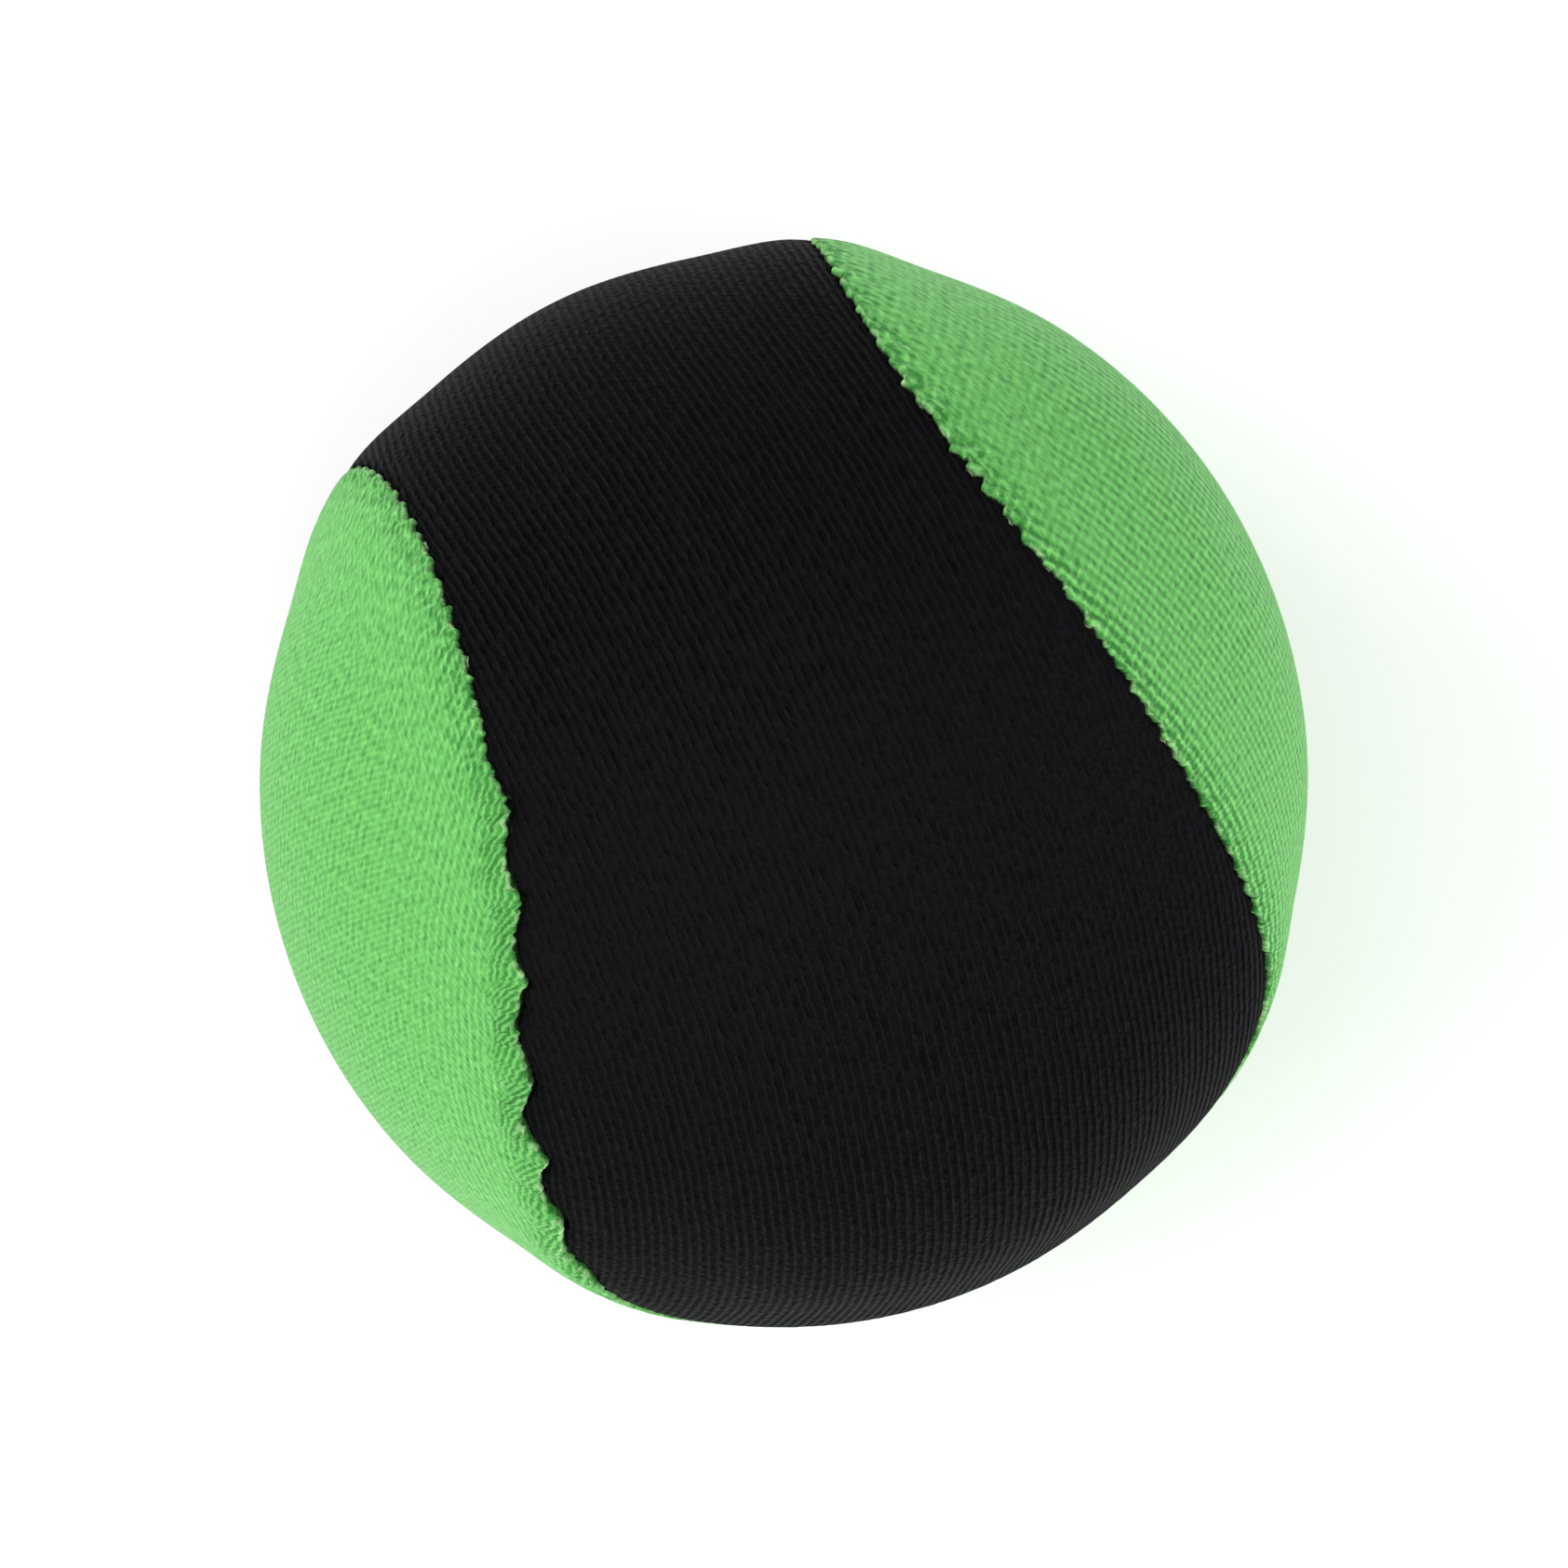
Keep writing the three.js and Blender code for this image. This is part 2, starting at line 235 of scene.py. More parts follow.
def wander(place):
    """The seam strays a little from its smooth course, most beside the closing's end."""
    stray = STRAY + STRAY_SWING * np.cos(TURN * (place - STRAY_CREST) / STRAY_WAVE)
    return stray * smooth(*STRAY_FADES_IN, place) * smooth(*STRAY_FADES_OUT, place)


def scallops(place):
    """Rounded notches and pointed peaks, between the places of the closing's scallops."""
    knots, shifts = np.array(CLOSING_SCALLOPS).T
    i = np.clip(np.searchsorted(knots, place, side="right") - 1, 0, len(knots) - 2)
    share = np.clip((place - knots[i]) / (knots[i + 1] - knots[i]), 0, 1)
    rising = shifts[i + 1] > shifts[i]
    climb = np.where(rising, share, 1 - share) ** SCALLOP_SHARPNESS
    low, high = np.minimum(shifts[i], shifts[i + 1]), np.maximum(shifts[i], shifts[i + 1])
    return blend((low, high), climb)


def edge_at(place):
    """How far the green edge stands out, and the index and phase of the stitch there."""
    s = np.mod(place - stitch_ends[0], fine.length) + stitch_ends[0]
    i = np.clip(np.searchsorted(stitch_ends, s, side="right") - 1, 0, len(tooth_heights) - 1)
    phase = (s - stitch_ends[i]) / (stitch_ends[i + 1] - stitch_ends[i])
    point = tooth_points[i]
    tooth = np.where(phase < point, phase / point, (1 - phase) / (1 - point)) ** TOOTH_SHARPNESS
    machine = tooth_heights[i] * (tooth - TOOTH_MIDDLE) + wander(np.mod(place, fine.length))
    hand = i < closing_stitches
    return np.where(hand, scallops(s), machine), i, phase


def fraying():
    """The yarns' ends make the edge ragged."""
    ragged = np.random.default_rng(3).normal(0, 1, fine.steps)
    neighbours = (-1, 0, 1)
    ragged = sum(np.roll(ragged, k) for k in neighbours) / math.sqrt(len(neighbours))
    return FRAYING * ragged


smooth_edge, stitch_index, stitch_phase = edge_at(fine.place)
edge_shift = smooth_edge + fraying()
hand_sewn = stitch_index < closing_stitches
# How much the hand sewing gathers the cloth, fading out at both of the closing's ends.
closing_pull = smooth(*CLOSING_FADES_IN, fine.place) * smooth(*CLOSING_FADES_OUT, fine.place)

# ---- The cover's relief, in millimetres ----

SWELL = 0.4
SWELL_REACH = 3.6
DIP = 0.22
DIP_SPAN = (2, 7)
FULLNESS = 0.1
FULLNESS_SPAN = (8, 14)
GREEN_EXTRA_SWELL = 0.06
GREEN_EXTRA_REACH = 5.0
BLACK_SWELL_SHARE = 0.95

DISTANCE_STRIDE = 6  # distances to the seam look at every so many of its steps
DISTANCE_BATCHES = 16


def swell(distance):
    """The cover stands proud along the seam, where the allowance lies under it, dips a little
    beside that, and is round in the middle of each panel."""
    proud = SWELL * bell(distance, SWELL_REACH)
    return proud - DIP * smooth(*DIP_SPAN, distance) + FULLNESS * smooth(*FULLNESS_SPAN, distance)


def green_swell(distance):
    return swell(distance) + GREEN_EXTRA_SWELL * bell(distance, GREEN_EXTRA_REACH)


def black_swell(distance):
    return BLACK_SWELL_SHARE * swell(distance)


def seam_distance(directions):
    """Millimetres to the seam, for any directions."""
    flat = directions.reshape(-1, 3)
    line = fine.line[::DISTANCE_STRIDE]
    batches = np.array_split(flat, DISTANCE_BATCHES)
    best = np.concatenate([(batch @ line.T).max(axis=1) for batch in batches])
    return BALL_RADIUS * np.arccos(np.clip(best, -1, 1)).reshape(directions.shape[:-1])


# ---- The knit's own coordinates: wales across, courses along ----

COURSE = 0.42  # millimetres
OFF_GRAIN = math.radians(-3)
BLACK_WALE = math.radians(1.0)
BLACK_BOW = 0.14
BLACK_BOW_MIDDLE = math.radians(80)
BLACK_KINK = 0.23  # the ribs turn this much, in radians, where they pass the panel's waist
BLACK_WAIST_TURN = math.radians(-5)
BLACK_WAIST_WIDTH = math.radians(5)
SMOOTH_STRETCH = math.radians(55)  # how far round the black panel its ribs are faintest
SMOOTH_STRETCH_REACH = math.radians(32)

GREEN_WALES = (math.radians(2.0), math.radians(1.25))  # the lobe at the right, and at the left
GREEN_BOWS = (0.82, 0.35)
GREEN_BOW_ROUNDING = 0.15
BETWEEN_LOBES = (-0.35, 0.35)
DOTS_SPAN = (2.5, 10)  # millimetres from the seam
RIBS_ON_LOBE = 0.35  # how much plainer the ribs show on the lobe at the right
RIBS_LOST_AT_TIPS = 0.65
UPPER_TIPS = (0.6, 0.85)


def black_grain():
    """The axes of the black panel's knit, which is cut a little off its grain."""
    centre = unit(black_waist + black_long)
    cos, sin = math.cos(OFF_GRAIN), math.sin(OFF_GRAIN)
    return [
        cos * axis + sin * np.cross(centre, axis) + (1 - cos) * (centre @ axis) * centre
        for axis in (green_long, black_long, black_waist)
    ]


def black_knit(d):
    """Wales run the long way, round the axis through the green panel's lobes. Returns the wale,
    the course, how dotted the knit looks, and how plainly its ribs show: they are faint in the
    smoothest stretch of the upper lobe."""
    across, along, upright = black_grain()
    turn = np.arctan2(d @ along, d @ upright)
    past_waist = (BLACK_WAIST_TURN - turn) / BLACK_WAIST_WIDTH
    bend = BLACK_BOW * np.cos(turn - BLACK_BOW_MIDDLE)
    bend += BLACK_KINK * BLACK_WAIST_WIDTH * np.log1p(np.exp(past_waist))
    wale = (np.arcsin(np.clip(d @ across, -1, 1)) + bend) / BLACK_WALE
    ribbed = 1 - bell(turn - SMOOTH_STRETCH, SMOOTH_STRETCH_REACH)
    return wale, turn * BALL_RADIUS / COURSE, np.zeros(len(d)), ribbed


def green_knit(d):
    """The green panel's wales bow towards the tips of its lobes. They are pulled further apart
    on one lobe, and in the middle of the other the stitches show as rows of dots. The ribs are
    faint towards the lobes' upper tips, where the knit looks mottled."""
    lobe = smooth(*BETWEEN_LOBES, d @ green_long)
    away = np.sqrt((d @ green_long) ** 2 + GREEN_BOW_ROUNDING**2) - GREEN_BOW_ROUNDING
    bend = blend(GREEN_BOWS, lobe) * away
    wale = (np.arcsin(np.clip(d @ black_long, -1, 1)) - bend) / blend(GREEN_WALES, lobe)
    course = np.arctan2(d @ green_long, -(d @ black_waist)) * BALL_RADIUS / COURSE
    faint = smooth(*UPPER_TIPS, d @ black_waist)
    ribbed = RIBS_ON_LOBE * (1 - lobe) * (1 - faint) - RIBS_LOST_AT_TIPS * faint
    return wale, course, lobe * smooth(*DOTS_SPAN, seam_distance(d)), ribbed


# ---- Surfaces ----

ROW_BOW = 3.5  # millimetres
ROW_BOW_LOOKS = 8  # a row finds its way by the rows one part in so many ahead and behind
ROW_BOW_RISE = 0.05  # shares of the way from one tip to the other
ROW_BOW_FADES_OUT = (0.4, 0.1)


class Skin:
    """A mesh in the making: rings of points all round the seam, and rows across a panel. Each
    point can carry fields, numbers that its material reads."""

    def __init__(self, seam, *fields):
        self.seam = seam
        self.points, self.ways, self.faces = [], [], []
        self.fields = {field: [] for field in fields}
        self.count = 0

    def add(self, directions, height, **fields):
        shape = directions.shape[:-1]
        flat = directions.reshape(-1, 3)
        self.points.append(settled(flat, np.broadcast_to(height, shape).reshape(-1)))
        self.ways.append(flat)
        for field, values in self.fields.items():
            values.append(np.broadcast_to(fields.get(field, 0.0), shape).reshape(-1))
        index = np.arange(self.count, self.count + len(flat)).reshape(shape)
        self.count += len(flat)
        return index

    def ring(self, width, height, every=1, **fields):
        """Points at every so many steps of the seam; width is positive into the black panel."""
        everywhere = {"height": height, **fields}
        spread = {k: np.broadcast_to(v, (self.seam.steps,))[::every] for k, v in everywhere.items()}
        directions = self.seam.beside(width)[::every]
        return self.add(directions, **spread), directions

    def polygons(self, corners, flipped):
        self.faces += (corners[:, ::-1] if flipped else corners).tolist()

    def bands(self, rings, flipped=False):
        """Faces from each ring to the next, whose number of points may be a multiple."""
        for a, b in zip(rings, rings[1:]):
            steps = min(len(a), len(b))
            share_a, share_b = len(a) // steps, len(b) // steps
            start = np.arange(steps)[:, None]
            along = (start * share_b + np.arange(share_b + 1)) % len(b)
            back = (start * share_a + np.arange(share_a, -1, -1)) % len(a)
            self.polygons(np.concatenate([b[along], a[back]], axis=1), flipped)

    def middle(self, tip, ring, directions, height_at, columns, flipped=False):
        """Rows of points across a panel, from one of its two tips to the other. tip is the
        first tip's share of the way round the seam."""
        steps = len(ring)
        rows = steps // 2
        first = round(tip * steps)
        step = np.arange(1, rows)
        left, right = (first - step) % steps, (first + step) % steps
        a, b = directions[left], directions[right]
        angle = np.arccos(np.clip((a * b).sum(axis=1), -1, 1))[:, None, None]
        share = np.linspace(0, 1, columns + 1)[None, 1:-1, None]
        between = a[:, None] * np.sin((1 - share) * angle) + b[:, None] * np.sin(share * angle)
        bowed = self.bow(unit(a + b), step, rows)[:, None] * np.sin(share * math.pi)
        between = unit(unit(between) + bowed)
        inner = self.add(between, height_at(between))
        grid = np.concatenate([ring[left][:, None], inner, ring[right][:, None]], axis=1)
        quads = np.stack([grid[:-1, :-1], grid[:-1, 1:], grid[1:, 1:], grid[1:, :-1]], axis=-1)
        self.polygons(quads.reshape(-1, 4), flipped)
        last = (first + rows) % steps
        for point, row, turned_over in (
            (ring[first], grid[0], not flipped),
            (ring[last], grid[-1], flipped),
        ):
            fan = np.stack([np.full(columns, point), row[:-1], row[1:]], axis=1)
            self.polygons(fan, turned_over)

    def bow(self, mids, step, rows):
        """How far the middle of each row is pushed away from the nearer tip, so that the rows
        don't crowd together where a tip is blunt."""
        reach = rows // ROW_BOW_LOOKS
        ahead = mids[np.minimum(step + reach, rows - 1) - 1]
        behind = mids[np.maximum(step - reach, 1) - 1]
        nearer = np.minimum(step, rows - step) / rows
        push = (1 - np.exp(-nearer / ROW_BOW_RISE)) * smooth(*ROW_BOW_FADES_OUT, nearer)
        push = np.where(step < rows / 2, push, -push) * ROW_BOW / BALL_RADIUS
        return unit(ahead - behind) * push[:, None]

    def object(self, name, knit=None):
        """The finished piece. knit gives its knit's coordinates for any directions."""
        obj = mesh_object(name, np.concatenate(self.points), self.faces)
        if knit is None:
            return obj
        mesh = obj.data
        wale, course, dotted, ribbed = knit(np.concatenate(self.ways))
        corner = np.zeros(len(mesh.loops), np.int32)
        mesh.loops.foreach_get("vertex_index", corner)
        layer = mesh.uv_layers.new(name="knit")
        both = np.stack([wale, course], axis=-1).astype(np.float32)
        layer.data.foreach_set("uv", both[corner].ravel())
        fields = {field: np.concatenate(values) for field, values in self.fields.items()}
        for field, values in {**fields, "dotted": dotted, "ribbed": ribbed}.items():
            attribute = mesh.attributes.new(field, "FLOAT", "POINT")
            attribute.data.foreach_set("value", values.astype(np.float32))
        return obj


def mesh_object(name, points, faces):
    """A smooth-shaded object of points in millimetres."""
    mesh = bpy.data.meshes.new(name)
    mesh.from_pydata((np.asarray(points) * MM).tolist(), [], faces)
    mesh.update()
    mesh.polygons.foreach_set("use_smooth", [True] * len(mesh.polygons))
    obj = bpy.data.objects.new(name, mesh)
    bpy.context.scene.collection.objects.link(obj)
    return obj


# ---- The cover panels ----

FIELDS = ("pleat", "gather", "edge", "fringe")  # what the knit's material reads
NEAR_WIDTH = 4.3  # where the rows across a panel take over from the rings
EVERY = 9  # the rows and the allowance have one point for so many of the edge's
PANEL_COLUMNS = 38
UNDERSIDE_COLUMNS = 6
UNDERSIDE = -0.75
GREEN_TIP = 0  # shares of the way round the seam
BLACK_TIP = 0.25
# A section gives the width of each ring from the seam. The allowance's adds its height, and
# the lip's and the slope's how far it drops under the relief.
ALLOWANCE_SECTION = [
    (0.35, -1.1), (SEAM_GAP / 2, -1.6), (SEAM_GAP / 2, -RAW_EDGE_DEPTH),
    (SEAM_GAP / 2 + 0.3, -RAW_EDGE_DEPTH), (1.05, -1.3), (1.7, UNDERSIDE),
    (NEAR_WIDTH, UNDERSIDE),
]
NEAR_SECTION = [
    3.65, 3.15, 2.75, 2.4, 2.1, 1.85, 1.6, 1.38, 1.17, 0.97, 0.78, 0.6, 0.43, 0.26,
]
GREEN_LIP = [(0.12, 0.01), (0.04, 0.05), (0.0, 0.13), (0.0, 0.28), (0.1, 0.5)]
BLACK_SLOPE = [
    (3.65, 0.0), (2.75, 0.0), (2.1, 0.0), (1.6, 0.0), (1.25, 0.01), (0.95, 0.03), (0.7, 0.05),
    (0.5, 0.08), (0.34, 0.11), (0.21, 0.16), (0.12, 0.24), (0.07, 0.36), (0.06, 0.7),
]

PLEAT_DENSITY = 1.6  # pleats in a millimetre of the edge
PLEATS_LOST = 0.65  # how many fewer there are lower down
PLEATS_LOST_SPAN = (33, 43)
PLEATS_ACROSS = (1.85, 0.3)  # how many are crossed: times the width, and its square
PLEAT_HEIGHT = 0.2
PLEAT_HEIGHT_SPREAD = (0.3, 1.5)
PLEAT_KINDS = 97  # their heights repeat after so many
PLEAT_REACH = 2.3
PLEAT_REACH_WAVES = [(0.6, 1.3), (0.4, 4.1)]  # (size, radians in a millimetre)
PLEAT_FULL_REACH = 0.35  # a share of the reach

DIMPLE_DEPTH = 0.2
DIMPLE_LENGTH = 0.17  # a share of its stitch
DIMPLE_SLANT = 0.5
DIMPLE_STARTS = (0.1, 0.4)
DIMPLE_REACH = 0.8

LUMP = 0.1
LUMP_RATE = 1.9
LUMP_REACH = 2.6
GREEN_SHIFT_REACH = 2.4  # how far into the cloth the edge's shape is felt
GREEN_SHIFT_LIMIT = 1.0  # no ring moves further out than this
EDGE_LOOK_REACH = 1.3
# The fringe marks the lip: painted shade there, and in places pale frayed fibres with a painted
# highlight.
FRINGE_WIDTH = 0.1
FRINGE = (0.6, 0.4)  # everywhere, and how much more in the closing
BLACK_SHIFT_REACH = 2.2
BLACK_PULL = 0.08
BLACK_PULL_REACH = 2.0


def pleats_along():
    """The closing's pleats, counted along the edge. There are fewer of them lower down."""
    density = PLEAT_DENSITY - PLEATS_LOST * smooth(*PLEATS_LOST_SPAN, fine.place)
    return np.cumsum(density * np.gradient(fine.place))


pleat_count = pleats_along()


def pleat_phase(width):
    """The pleats run slantwise from the edge into the cloth, more steeply further in."""
    return pleat_count - PLEATS_ACROSS[0] * width - PLEATS_ACROSS[1] * width**2


def gathering(width):
    """How much the cloth is pleated there: some pleats reach further in than others."""
    reach = PLEAT_REACH
    for size, rate in PLEAT_REACH_WAVES:
        reach = reach + size * np.sin(rate * fine.place)
    return closing_pull * smooth(reach, PLEAT_FULL_REACH * reach, width)


def pleats(width):
    phase = pleat_phase(width)
    kinds = np.random.default_rng(11).uniform(*PLEAT_HEIGHT_SPREAD, PLEAT_KINDS)
    heights = kinds[np.round(phase).astype(int) % PLEAT_KINDS]
    return PLEAT_HEIGHT * heights * gathering(width) * (0.5 + 0.5 * np.cos(TURN * phase))


def dimples(width):
    """Each overlock stitch pulls a slanting dimple into the edge."""
    slant = np.mod(stitch_phase + DIMPLE_SLANT * width + 0.5, 1) - 0.5
    pull = DIMPLE_DEPTH * bell(slant, DIMPLE_LENGTH) * ~hand_sewn
    return -pull * smooth(*DIMPLE_STARTS, width) * bell(width, DIMPLE_REACH)


def green_outside(directions):
    """The green panel's height over its middle, for any directions."""
    return green_swell(seam_distance(directions))


def black_outside(directions):
    """The black panel's height over its middle."""
    return black_swell(seam_distance(directions))


def inside(directions):
    """Either panel's height under its middle."""
    return UNDERSIDE


def spacing(beyond):
    """The outermost ring has as few points as the rows that it meets."""
    return EVERY if beyond == NEAR_WIDTH else 1


def green_panel():
    skin = Skin(fine, *FIELDS)
    lumps = (LUMP + LUMP * np.sin(LUMP_RATE * fine.place)) * closing_pull
    near = [(beyond, 0.0) for beyond in [NEAR_WIDTH] + NEAR_SECTION]
    rings = []
    for beyond, drop in near + GREEN_LIP:
        width = beyond - edge_shift * bell(beyond, GREEN_SHIFT_REACH)
        width = np.maximum(width, beyond - GREEN_SHIFT_LIMIT)
        bulge = lumps * bell(beyond, LUMP_REACH)
        height = green_swell(beyond) + bulge + pleats(beyond) + dimples(beyond) - drop
        rings.append(skin.ring(
            -width,
            height,
            spacing(beyond),
            pleat=pleat_phase(beyond),
            gather=gathering(beyond),
            # edge: near the seam the knit is lower and painted darker, as painted shade
            edge=bell(beyond, EDGE_LOOK_REACH),
            # fringe: the lip, painted darker as painted shade, with pale spots of frayed fibre and
            # painted highlight
            fringe=(FRINGE[0] + FRINGE[1] * closing_pull) * (beyond < FRINGE_WIDTH),
        ))
    rings += [skin.ring(-width, height, EVERY) for width, height in ALLOWANCE_SECTION]
    skin.bands([index for index, directions in rings], flipped=True)
    skin.middle(GREEN_TIP, *rings[0], green_outside, PANEL_COLUMNS, flipped=True)
    skin.middle(GREEN_TIP, *rings[-1], inside, UNDERSIDE_COLUMNS)
    return skin.object("green_cover_panel", green_knit)


def black_panel():
    skin = Skin(fine, *FIELDS)
    pull = BLACK_PULL * closing_pull * np.cos(TURN * stitch_phase)
    rings = []
    for beyond, drop in [(NEAR_WIDTH, 0.0)] + BLACK_SLOPE:
        width = beyond + edge_shift * bell(beyond, BLACK_SHIFT_REACH)
        height = black_swell(beyond) + pull * bell(beyond, BLACK_PULL_REACH) - drop
        rings.append(skin.ring(width, height, spacing(beyond)))
    rings += [skin.ring(width, height, EVERY) for width, height in ALLOWANCE_SECTION]
    skin.bands([index for index, directions in rings])
    skin.middle(BLACK_TIP, *rings[0], black_outside, PANEL_COLUMNS)
    skin.middle(BLACK_TIP, *rings[-1], inside, UNDERSIDE_COLUMNS, flipped=True)
    return skin.object("black_cover_panel", black_knit)


# ---- The threads ----

NEEDLE_SHARES = np.array([0.3, 0.5, 0.7])  # of a stitch: up, on the cloth, and down
NEEDLE_OUT = (0.0, 0.07, 0.0)  # past the green edge
NEEDLE_HEIGHTS = (-0.2, 0.02, -0.2)
NEEDLE_ODDS = (0.7, 0.3)  # of staying hidden in the joint, and of showing
HIDDEN_BACK = 0.2
HIDDEN_DEPTH = 0.7
NEEDLE_LOW = -1.0  # between two stitches
NEEDLE_STEPS = 4
LOOPER_FACE = (1.5, -1.6)  # (width from the seam, height)
LOOPER_RIM = (0.45, -3.35)
LOOPER_STEPS = 6
CLOSING_PITCH = 1.1
CLOSING_HEIGHTS = (-1.75, -0.75)
CLOSING_STEPS = 6


def tube(name, path):
    """A round thread along a path, with its ends closed."""
    ways = unit(np.gradient(path, axis=0))
    outwards = unit(path - np.array([0, 0, CENTRE_HEIGHT]))
    side = unit(np.cross(ways, outwards))
    up = np.cross(side, ways)
    turn = TURN * np.arange(THREAD_SIDES) / THREAD_SIDES
    ring = np.cos(turn)[:, None] * side[:, None] + np.sin(turn)[:, None] * up[:, None]
    points = (path[:, None] + THREAD_RADIUS * ring).reshape(-1, 3)
    index = np.arange(len(points)).reshape(-1, THREAD_SIDES)
    a, b = index[:-1], index[1:]
    quads = np.stack([a, np.roll(a, -1, 1), np.roll(b, -1, 1), b], axis=-1).reshape(-1, 4)
    faces = quads[:, ::-1].tolist() + [index[0].tolist(), index[-1][::-1].tolist()]
    return mesh_object(name, points, faces)


def through(knots, between):
    """A smooth curve through rows of numbers, with that many steps from one to the next."""
    knots = np.concatenate([2 * knots[:1] - knots[1:2], knots, 2 * knots[-1:] - knots[-2:-1]])
    t = (np.arange(between) / between)[None, :, None]
    p0, p1, p2, p3 = (knots[k:len(knots) - 3 + k][:, None] for k in range(4))
    curve = 0.5 * (
        2 * p1
        + (p2 - p0) * t
        + (2 * p0 - 5 * p1 + 4 * p2 - p3) * t**2
        + (3 * p1 - p0 - 3 * p2 + p3) * t**3
    )
    return np.concatenate([curve.reshape(-1, knots.shape[1]), knots[-2:-1]])


def sewn(name, knots, between):
    """A thread through (place along the seam, width, height) knots."""
    place, width, height = through(np.array(knots, float), between).T
    return tube(name, fine.point_at(place, width, height))


# The first and the last one end beside the closing, so their thread isn't drawn.
machine_ends = stitch_ends[closing_stitches:]
machine_stitches = list(zip(machine_ends[:-1], machine_ends[1:]))[1:-1]


def needle_thread():
    """It comes up beside each tooth of the green edge. In some places it shows as a short
    stroke, in the others it stays in the joint."""
    rng = np.random.default_rng(5)
    knots = []
    for start, end in machine_stitches:
        place = start + (end - start) * NEEDLE_SHARES
        edge, index, phase = edge_at(place)
        hidden = 1 - rng.choice([0.0, 1.0], p=NEEDLE_ODDS)
        surface = fine.point_at(place, 0.0 * place, 0.0 * place)
        if surface[1, 2] < 2 * THREAD_RADIUS:
            hidden = 1.0  # the ball rests here
        knots.append((start, 0.5 * edge[0], NEEDLE_LOW))
        for at, out, height in zip(place, NEEDLE_OUT, NEEDLE_HEIGHTS):
            knots.append((at, edge[1] + out - HIDDEN_BACK * hidden, height - HIDDEN_DEPTH * hidden))
    return sewn("needle_thread", knots, NEEDLE_STEPS)


def looper_thread(name, side):
    """It goes to and fro between the face of the allowance and its raw edge."""
    knots = []
    for start, end in machine_stitches:
        middle = 0.5 * (start + end)
        for place, (width, height) in ((start, LOOPER_FACE), (middle, LOOPER_RIM)):
            knots.append((place, side * width, height))
    return sewn(name, knots, LOOPER_STEPS)


def closing_thread():
    """The hand-sewn thread goes to and fro in the joint."""
    places = np.arange(opening_from, opening_to, CLOSING_PITCH)
    knots = [(place, 0, CLOSING_HEIGHTS[i % 2]) for i, place in enumerate(places)]
    return sewn("closing_thread_sewn", knots, CLOSING_STEPS)


# ---- The bladder, its plug and the gel ----

BLADDER_DEPTH = COVER_THICKNESS + LAYER_GAP
GEL_DEPTH = BLADDER_DEPTH + BLADDER_WALL + LAYER_GAP
VALLEY_DEPTH = 2.75
VALLEY_HALF_WIDTH = 1.8
VALLEY_SIDE = (0.72, 1.5)  # shares of the half width, as the rings' are
VALLEY_RINGS = (1.9, 1.45, 1.2, 1.05, 0.95, 0.8, 0.5, 0.0)
SKIN_COLUMNS = 24
PORT_RADIUS = 2.3
PORT_HEAD_RADIUS = 3.5
PORT_HEAD_DEPTH = 1.6
PLUG_RECESS = 0.6
PLUG_ROUNDING = 0.25
PLUG_DISH = [(1.6, 0.0), (1.3, 0.35), (0, 0.45)]  # (radius, depth under the plug's top)
BOSS_RADIUS = 5.0
BOSS_DEPTH = 3.6
BOSS_TOP = -0.7  # inside the bladder's wall
ROOM_TOP = 1.0  # outside the gel
ROUND_SIDES = 64
SAME_PLACE = 0.001  # points closer than this after a cut are one point


def valley_skin(skin, depth, extra_width, flipped=False):
    """A closed round skin with a soft valley along the seam, which makes room for the cover's
    seam allowance."""
    half_width = VALLEY_HALF_WIDTH + extra_width
    shares = np.array(VALLEY_RINGS)
    rings = []
    for width in np.concatenate([shares, -shares[-2::-1]]) * half_width:
        valley = 1 - smooth(*VALLEY_SIDE, abs(width) / half_width)
        rings.append(skin.ring(width, -depth - VALLEY_DEPTH * valley))
    skin.bands([index for index, directions in rings], flipped)
    skin.middle(BLACK_TIP, *rings[0], lambda d: -depth, SKIN_COLUMNS, flipped)
    skin.middle(GREEN_TIP, *rings[-1], lambda d: -depth, SKIN_COLUMNS, not flipped)


port_axis = -black_waist
port_top = settled(port_axis[None], np.array([-BLADDER_DEPTH]))[0]


def turned_solid(name, outline):
    """A solid turned about the port's axis, from (radius, height) points that start and end
    on it. Height 0 is the bladder's surface."""
    side = unit(np.cross(port_axis, [0.0, 0.0, 1.0]))
    other = np.cross(port_axis, side)
    angle = TURN * np.arange(ROUND_SIDES) / ROUND_SIDES
    ring = np.cos(angle)[:, None] * side + np.sin(angle)[:, None] * other
    points = [port_top + port_axis * outline[0][1]]
    for radius, height in outline[1:-1]:
        points += list(port_top + port_axis * height + radius * ring)
    points.append(port_top + port_axis * outline[-1][1])
    rows = 1 + np.arange((len(outline) - 2) * ROUND_SIDES).reshape(-1, ROUND_SIDES)
    last = len(points) - 1
    faces = []
    for a, b in zip(rows, rows[1:]):
        faces += np.stack([a, np.roll(a, -1), np.roll(b, -1), b], axis=1).tolist()
    faces += [[0, q, p] for p, q in zip(rows[0], np.roll(rows[0], -1))]
    faces += [[last, p, q] for p, q in zip(rows[-1], np.roll(rows[-1], -1))]
    return mesh_object(name, np.array(points), [[int(v) for v in f] for f in faces])


def cylinder(name, radius, low, high):
    return turned_solid(name, [(0, low), (radius, low), (radius, high), (0, high)])


